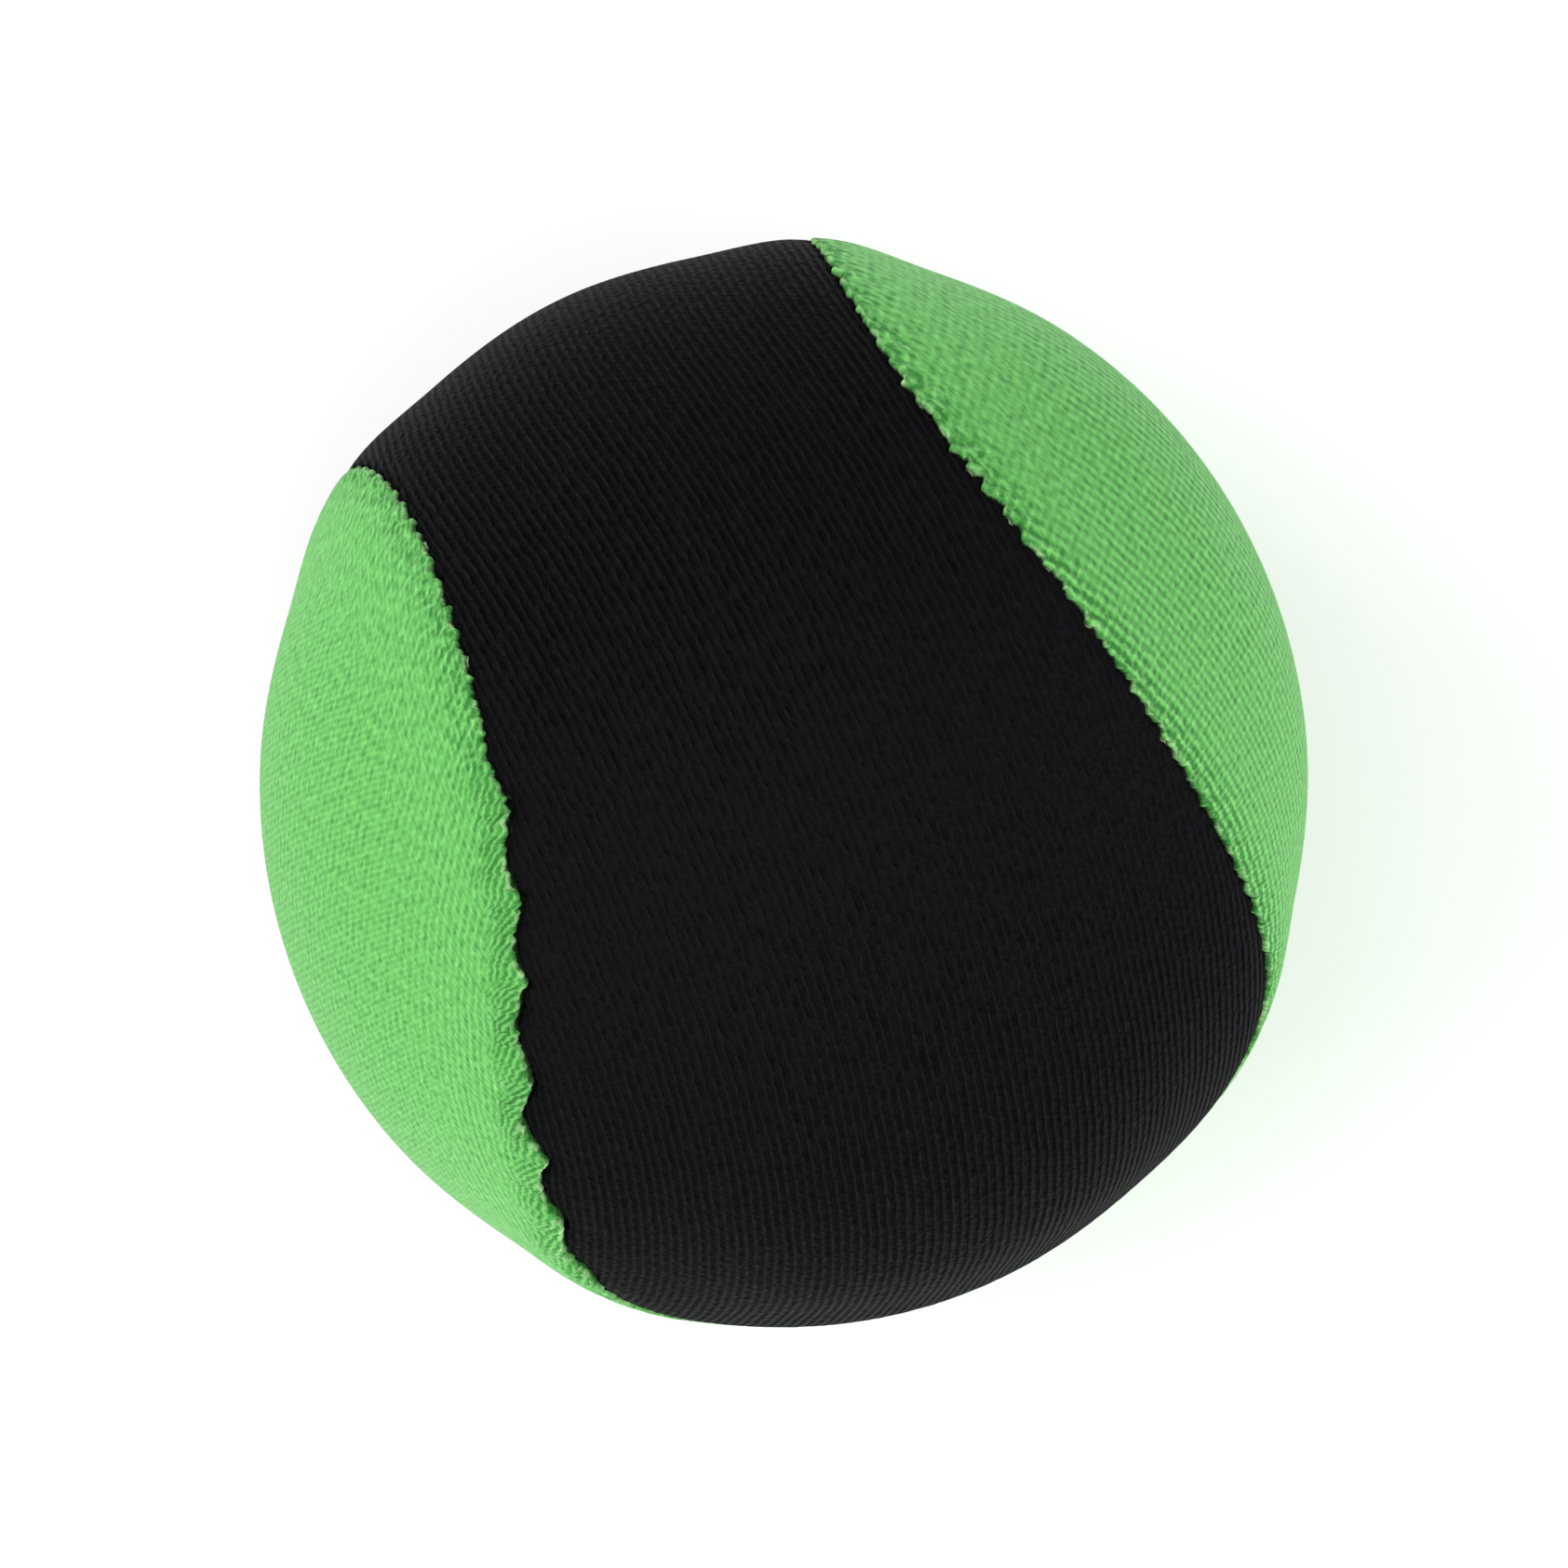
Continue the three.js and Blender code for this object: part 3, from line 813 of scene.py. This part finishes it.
def cut(obj, tool, kind):
    """Joins a solid with a tool, or cuts it, and takes the tool away."""
    change = obj.modifiers.new(kind, "BOOLEAN")
    change.operation, change.object, change.solver = kind, tool, "EXACT"
    with bpy.context.temp_override(object=obj, active_object=obj, selected_objects=[obj]):
        bpy.ops.object.modifier_apply(modifier=change.name)
    bpy.data.objects.remove(tool)
    mesh = bmesh.new()
    mesh.from_mesh(obj.data)
    bmesh.ops.remove_doubles(mesh, verts=mesh.verts, dist=SAME_PLACE * MM)
    mesh.to_mesh(obj.data)
    mesh.free()


def plug_outline(clearance, top):
    """The plug's section, or its port's with a clearance."""
    stem = PORT_RADIUS - LAYER_GAP + clearance
    head = PORT_HEAD_RADIUS - LAYER_GAP + clearance
    step = -PORT_HEAD_DEPTH + LAYER_GAP - clearance
    end = -BOSS_DEPTH + LAYER_GAP - 2 * clearance
    return [
        (0, end),
        (stem - PLUG_ROUNDING, end),
        (stem, end + PLUG_ROUNDING),
        (stem, step),
        (head - PLUG_ROUNDING, step),
        (head, step + PLUG_ROUNDING),
        (head, top - PLUG_ROUNDING),
        (head - PLUG_ROUNDING, top),
        (0, top),
    ]


def bladder():
    skin = Skin(coarse)
    valley_skin(skin, BLADDER_DEPTH, 0.0)
    valley_skin(skin, BLADDER_DEPTH + BLADDER_WALL, BLADDER_WALL, flipped=True)
    obj = skin.object("rubber_bladder")
    cut(obj, cylinder("boss", BOSS_RADIUS, -BOSS_DEPTH, BOSS_TOP), "UNION")
    cut(obj, turned_solid("port", plug_outline(LAYER_GAP, BLADDER_WALL)), "DIFFERENCE")
    return obj


def plug():
    outline = plug_outline(0.0, -PLUG_RECESS)
    dish = [(radius, -PLUG_RECESS - depth) for radius, depth in PLUG_DISH]
    return turned_solid("rubber_plug", outline[:-1] + dish)


def gel():
    skin = Skin(coarse)
    valley_skin(skin, GEL_DEPTH, BLADDER_WALL + LAYER_GAP)
    obj = skin.object("soft_gel")
    room = cylinder("room", BOSS_RADIUS + LAYER_GAP, -BOSS_DEPTH - LAYER_GAP, ROOM_TOP)
    cut(obj, room, "DIFFERENCE")
    return obj


# ---- Materials ----


class Field:
    """A number that varies over a surface, as a shader socket with ordinary arithmetic."""

    def __init__(self, tree, socket):
        self.tree, self.socket = tree, socket

    def math(self, kind, *others):
        node = self.tree.nodes.new("ShaderNodeMath")
        node.operation = kind
        for socket, value in zip(node.inputs, (self, *others)):
            if isinstance(value, Field):
                self.tree.links.new(value.socket, socket)
            else:
                socket.default_value = value
        return Field(self.tree, node.outputs[0])

    def __add__(self, other):
        return self.math("ADD", other)

    def __sub__(self, other):
        return self.math("SUBTRACT", other)

    def __mul__(self, other):
        return self.math("MULTIPLY", other)

    __radd__, __rmul__ = __add__, __mul__

    def __rsub__(self, other):
        return self * -1.0 + other

    def wave(self):
        """The cosine of so many turns."""
        return (self * TURN).math("COSINE")

    def clip(self):
        return self.math("MAXIMUM", 0.0).math("MINIMUM", 1.0)

    def under(self, limit):
        return self.math("LESS_THAN", limit)


def linear(*rgb):
    """An sRGB colour from 0 to 255, as linear light."""
    c = [v / 255 for v in rgb]
    return tuple(v / 12.92 if v <= 0.04045 else ((v + 0.055) / 1.055) ** 2.4 for v in c)


class Finish:
    """A material in the making."""

    def __init__(self, name, roughness, specular, sheen=0.0, sheen_roughness=0.5):
        self.material = bpy.data.materials.new(name)
        self.material.use_nodes = True
        self.tree = self.material.node_tree
        self.shader = self.tree.nodes["Principled BSDF"]
        self.shader.inputs["Roughness"].default_value = roughness
        self.shader.inputs["Specular IOR Level"].default_value = specular
        self.shader.inputs["Sheen Weight"].default_value = sheen
        self.shader.inputs["Sheen Roughness"].default_value = sheen_roughness
        self.place = self.node("TexCoord").outputs["Object"]

    def node(self, kind, **links):
        node = self.tree.nodes.new("ShaderNode" + kind)
        for socket, value in links.items():
            if isinstance(value, bpy.types.NodeSocket):
                self.tree.links.new(value, node.inputs[socket])
            else:
                node.inputs[socket].default_value = value
        return node

    def field(self, socket):
        return Field(self.tree, socket)

    def attribute(self, name):
        node = self.node("Attribute")
        node.attribute_name = name
        return self.field(node.outputs["Fac"])

    def uv(self, name):
        node = self.node("UVMap")
        node.uv_map = name
        split = self.node("SeparateXYZ", Vector=node.outputs["UV"])
        return self.field(split.outputs["X"]), self.field(split.outputs["Y"])

    def noise(self, scale, detail):
        """From about -0.5 to 0.5; scale is in waves to a metre."""
        node = self.node("TexNoise", Vector=self.place, Scale=scale, Detail=detail)
        return self.field(node.outputs["Fac"]) - 0.5

    def slubs(self, wale, course, closeness):
        """Thicker and thinner places in the yarns, from about -0.5 to 0.5. closeness is how
        quickly they follow each other along a yarn."""
        place = self.node("CombineXYZ", X=(wale * SLUBS_ACROSS).socket, Y=(course * closeness).socket)
        node = self.node("TexNoise", Vector=place.outputs[0], Scale=1.0, Detail=3.0)
        return self.field(node.outputs["Fac"]) - 0.5

    def mix(self, share, a, b):
        node = self.tree.nodes.new("ShaderNodeMix")
        node.data_type = "RGBA"
        self.tree.links.new(share.socket, node.inputs["Factor"])
        for socket, value in (("A", a), ("B", b)):
            if isinstance(value, tuple):
                node.inputs[socket].default_value = (*value, 1)
            else:
                self.tree.links.new(value, node.inputs[socket])
        return node.outputs["Result"]

    def colour(self, socket):
        self.tree.links.new(socket, self.shader.inputs["Base Color"])

    def roughness(self, field):
        self.tree.links.new(field.clip().socket, self.shader.inputs["Roughness"])

    def bump(self, height, depth):
        node = self.node("Bump", Height=height.socket, Distance=depth * MM, Strength=1.0)
        self.tree.links.new(node.outputs["Normal"], self.shader.inputs["Normal"])


# The yarns of the knit. Scales are in waves to a metre.
YARN_STRAY_SCALE = 380
RIBS_STRAY = 0.55  # how far, in wales, the ribs stray, and how much the slubs push them
RIBS_PUSHED = 0.3
RIBS_LESS_IN_DOTS = 0.6
RIBS_MORE_WHERE_PLAIN = 1.1
ROWS_LEAN = 1.2  # courses that a row of dots climbs from one wale to the next
ROWS_STRENGTH = 0.7
SLANTS_ALONG = 0.86
SLANTS_ACROSS = 0.74
STITCHES_STRAY = 0.9
SLUBS_ACROSS = 1.8
SLUBS_LESS_ON_RIBS = 0.3
SLUBS_LESS_IN_GATHERS = 0.5
FOLDS_STRAY = 0.8
FOLDS_STRENGTH = 1.6
YARNS_LESS_IN_GATHERS = 0.75
# Pits near the edge, and a band along it (EDGE_SHADE), lower the knit's height. This deepens the bump
# and also paints shade into the colour there.
PITS_SCALE = 2100
PITS_CONTRAST = 4.5
PITS_RARITY = 0.35
PITS_DEPTH = 0.5
YARNS_MEAN = 0.55
YARNS_HEIGHT = 0.18
EDGE_SHADE = 0.12

# Its colour and its surface.
CLOUDS_SCALE = 70
CLOUDS_SHARE = 0.35
CLOUDS_SHADE = 0.72
# Painted shade on the lip, where the fringe turns down to the black panel.
PAINTED_LIP_SHADE = 0.3
# Pale spots on the fringe: frayed fibres, and a painted highlight where light catches the lip.
FRAY_HIGHLIGHT_SCALE = 1300
FRAY_HIGHLIGHT = 0.35
FRAY_HIGHLIGHT_CONTRAST = 6.0
FRAY_HIGHLIGHT_SHARE = 0.8
FUZZ_SCALE = 5200
FUZZ_HEIGHT = 0.12
KNIT_SHEEN_ROUGHNESS = 0.4
YARNS_SIDE_ROUGHER = 0.1
YARNS_TOP_SMOOTHER = 0.14


def knit_height(finish, slanting, unevenness, closeness, calm):
    """The height of a jersey's yarns, from 0 to 1: ribs with stitches slanting across them,
    which show as rows of dots in the dotted part, and the pleats along the closing. slanting is
    how strong the slanting stitches are. Where the ribs are faint, calm evens out the rest."""
    wale, course = finish.uv("knit")
    dotted = finish.attribute("dotted")
    ribbed = finish.attribute("ribbed")
    gather = finish.attribute("gather")
    edge = finish.attribute("edge")
    stray = finish.noise(YARN_STRAY_SCALE, 2)
    slubs = finish.slubs(wale, course, closeness)

    ribs = (wale + RIBS_STRAY * stray + RIBS_PUSHED * slubs).wave()
    rows = (course - ROWS_LEAN * wale + STITCHES_STRAY * stray).wave()
    slants = (SLANTS_ALONG * course + SLANTS_ACROSS * wale + STITCHES_STRAY * stray).wave()
    folds = (finish.attribute("pleat") + FOLDS_STRAY * stray).wave()

    yarns = ribs * (1 - RIBS_LESS_IN_DOTS * dotted + RIBS_MORE_WHERE_PLAIN * ribbed)
    yarns = yarns + ROWS_STRENGTH * (rows * dotted) + slanting * (slants * (1 - dotted))
    ungathered = 1 - YARNS_LESS_IN_GATHERS * gather
    yarns = yarns * ungathered + FOLDS_STRENGTH * (folds * gather)
    slubs = slubs * (1 - SLUBS_LESS_ON_RIBS * ribbed) * (1 - SLUBS_LESS_IN_GATHERS * gather)
    relief = (1 + edge * ungathered) * (1 - calm * (1 - ribbed))
    # Painted shade: the pits and the band along the edge come out darker in the colour, as well as
    # lower in the bump.
    pits = (PITS_CONTRAST * finish.noise(PITS_SCALE, 2) - PITS_RARITY).clip()
    pits = pits * edge * (1 - gather)
    height = YARNS_MEAN - EDGE_SHADE * edge - PITS_DEPTH * pits
    return (height + (YARNS_HEIGHT * yarns + unevenness * slubs) * relief).clip()


def knit_finish(name, light, dark, slanting, unevenness, closeness, calm, depth, sheen, specular,
                fibre_and_highlight, roughness):
    """A jersey's material and its colour: painted shade between the yarns, cloudy, painted shade on
    the lip at the fringe, and pale spots there of frayed loose yarn of its own colour and a painted
    highlight."""
    finish = Finish(name, roughness, specular, sheen, KNIT_SHEEN_ROUGHNESS)
    height = knit_height(finish, slanting, unevenness, closeness, calm)
    # Painted shade: the colour runs to dark where the yarns' height is low, between the yarns, in the
    # pits and along the edge. The same height also gives the bump.
    colour = finish.mix(height, dark, light)
    cloudy = (0.5 + finish.noise(CLOUDS_SCALE, 3)).clip()
    shade = tuple(CLOUDS_SHADE * v for v in light)
    colour = finish.mix(cloudy * CLOUDS_SHARE, colour, shade)
    fringe = finish.attribute("fringe")
    # Painted shade: the lip at the fringe is mixed towards dark.
    colour = finish.mix(fringe * PAINTED_LIP_SHADE, colour, dark)
    # Partly painted highlight: the fringe is paled in spots, both for frayed fibres and for light
    # catching the lip.
    frayed_and_lit = (fringe * (FRAY_HIGHLIGHT + FRAY_HIGHLIGHT_CONTRAST * finish.noise(FRAY_HIGHLIGHT_SCALE, 2))).clip()
    colour = finish.mix(frayed_and_lit * FRAY_HIGHLIGHT_SHARE, colour, fibre_and_highlight)
    finish.bump(height + FUZZ_HEIGHT * finish.noise(FUZZ_SCALE, 3), depth)
    finish.roughness(roughness + YARNS_SIDE_ROUGHER - YARNS_TOP_SMOOTHER * height)
    return finish, colour


def green_finish():
    finish, colour = knit_finish(
        "green_knit",
        light=linear(118, 204, 104),
        # dark: the painted shade between the yarns
        dark=linear(26, 108, 34),
        slanting=0.5,
        unevenness=1.5,
        closeness=0.85,
        calm=0.0,
        depth=0.16,
        sheen=0.14,
        specular=0.15,
        # the pale of frayed fibres and of a painted highlight on the lip
        fibre_and_highlight=linear(168, 214, 150),
        roughness=0.7,
    )
    finish.colour(colour)
    return finish.material


LINT_SCALE = 150.0  # cells to a metre, each of which may hold one speck
LINT_RADIUS = 0.017  # a share of a cell
LINT_ODDS = 0.35
LINT_SHARE = 0.8


def black_finish():
    finish, colour = knit_finish(
        "black_knit",
        light=linear(26, 25, 28),
        # dark: the painted shade between the ribs
        dark=linear(1, 1, 2),
        slanting=0.15,
        unevenness=1.7,
        closeness=0.6,
        calm=0.5,
        depth=0.8,
        sheen=0.0,
        specular=0.015,
        fibre_and_highlight=linear(15, 14, 16),
        roughness=0.55,
    )
    # Specks of lint cling to the black cloth.
    dots = finish.node("TexVoronoi", Vector=finish.place, Scale=LINT_SCALE)
    near = finish.field(dots.outputs["Distance"]).under(LINT_RADIUS)
    kept = finish.field(finish.node("SeparateXYZ", Vector=dots.outputs["Color"]).outputs["X"])
    lint = near * kept.under(LINT_ODDS)
    finish.colour(finish.mix(lint * LINT_SHARE, colour, linear(120, 118, 114)))
    return finish.material


def thread_finish():
    finish = Finish("spun_thread", roughness=0.6, specular=0.3, sheen=0.15)
    ply = (finish.noise(9000, 2) + 0.5).clip()
    finish.colour(finish.mix(ply, linear(120, 142, 108), linear(176, 204, 158)))
    finish.bump(ply, depth=0.03)
    return finish.material


def rubber_finish(name, light, dark):
    roughness = 0.45
    finish = Finish(name, roughness, specular=0.45)
    cloud = (finish.noise(120, 4) + 0.5).clip()
    finish.colour(finish.mix(cloud, dark, light))
    grain = finish.noise(2500, 3)
    finish.bump(grain, depth=0.02)
    finish.roughness(roughness + 0.2 * grain)
    return finish.material


def gel_finish():
    finish = Finish("clear_gel", roughness=0.12, specular=0.5)
    cloud = (finish.noise(90, 4) + 0.5).clip()
    finish.colour(finish.mix(cloud, linear(196, 220, 228), linear(222, 238, 243)))
    finish.shader.inputs["Transmission Weight"].default_value = 0.35
    finish.bump(finish.noise(260, 2), depth=0.15)
    return finish.material


# ---- The pieces ----


def place_piece(obj, material, node):
    obj.data.materials.clear()
    obj.data.materials.append(material)
    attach(obj, "root")
    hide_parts(node)
    return obj


green = place_piece(green_panel(), green_finish(), "cover_panel_green")
black = place_piece(black_panel(), black_finish(), "cover_panel_black")

thread = thread_finish()
needle = needle_thread()
upper_looper = looper_thread("upper_looper_thread", -1)
lower_looper = looper_thread("lower_looper_thread", 1)
place_piece(needle, thread, "overlock_needle_thread")
place_piece(upper_looper, thread, "overlock_upper_looper_thread")
place_piece(lower_looper, thread, "overlock_lower_looper_thread")
place_piece(closing_thread(), thread, "closing_thread")

bladder_rubber = rubber_finish("bladder_rubber", linear(222, 216, 203), linear(208, 201, 186))
plug_rubber = rubber_finish("plug_rubber", linear(206, 200, 186), linear(192, 186, 171))
place_piece(bladder(), bladder_rubber, "bladder")
place_piece(plug(), plug_rubber, "bladder_plug")
place_piece(gel(), gel_finish(), "gel_filling")

# ---- Floor, light and camera, in metres ----

FLOOR_HALF_WIDTH = 3.0
FLOOR_GREY = 0.93
CAMERA_ELEVATION = math.radians(86.5)
CAMERA_DISTANCE = 0.315
CAMERA_NEAR = 0.01
FRAME_SHARE = 0.68  # of the picture's width that the ball takes


def floor():
    half = FLOOR_HALF_WIDTH
    corners = [(-half, -half, 0), (half, -half, 0), (half, half, 0), (-half, half, 0)]
    mesh = bpy.data.meshes.new("floor")
    mesh.from_pydata(corners, [], [(0, 1, 2, 3)])
    obj = bpy.data.objects.new("floor", mesh)
    bpy.context.scene.collection.objects.link(obj)
    finish = Finish("pale_floor", roughness=0.9, specular=0.1)
    grey = (FLOOR_GREY, FLOOR_GREY, FLOOR_GREY, 1)
    finish.shader.inputs["Base Color"].default_value = grey
    mesh.materials.append(finish.material)


def softbox(name, place, size, power):
    """A square soft light that faces the ball."""
    light = bpy.data.lights.new(name, "AREA")
    light.shape = "RECTANGLE"
    light.size = light.size_y = size
    light.energy = power
    obj = bpy.data.objects.new(name, light)
    obj.location = place
    way = mathutils.Vector((0, 0, CENTRE_HEIGHT * MM)) - mathutils.Vector(place)
    obj.rotation_euler = way.to_track_quat("-Z", "Y").to_euler()
    bpy.context.scene.collection.objects.link(obj)


def studio():
    softbox("key_light", place=(-1.05, 0.0, 0.8), size=1.3, power=11)
    softbox("low_front_light", place=(0.6, -1.0, 0.35), size=0.8, power=9)
    world = bpy.data.worlds.new("studio")
    world.use_nodes = True
    background = world.node_tree.nodes["Background"]
    background.inputs["Color"].default_value = (1, 1, 1, 1)
    background.inputs["Strength"].default_value = 1.0
    bpy.context.scene.world = world
    bpy.context.scene.view_settings.view_transform = "Standard"


def camera():
    data = bpy.data.cameras.new("camera")
    obj = bpy.data.objects.new("camera", data)
    centre = np.array([0, 0, CENTRE_HEIGHT * MM])
    back = np.array([0, -math.cos(CAMERA_ELEVATION), math.sin(CAMERA_ELEVATION)])
    obj.location = centre + CAMERA_DISTANCE * back
    obj.rotation_euler = (math.pi / 2 - CAMERA_ELEVATION, 0, 0)
    half_ball = math.asin(BALL_RADIUS * MM / CAMERA_DISTANCE)
    data.lens = 0.5 * data.sensor_width * FRAME_SHARE / math.tan(half_ball)
    data.clip_start = CAMERA_NEAR
    bpy.context.scene.collection.objects.link(obj)
    bpy.context.scene.camera = obj


floor()
studio()
camera()
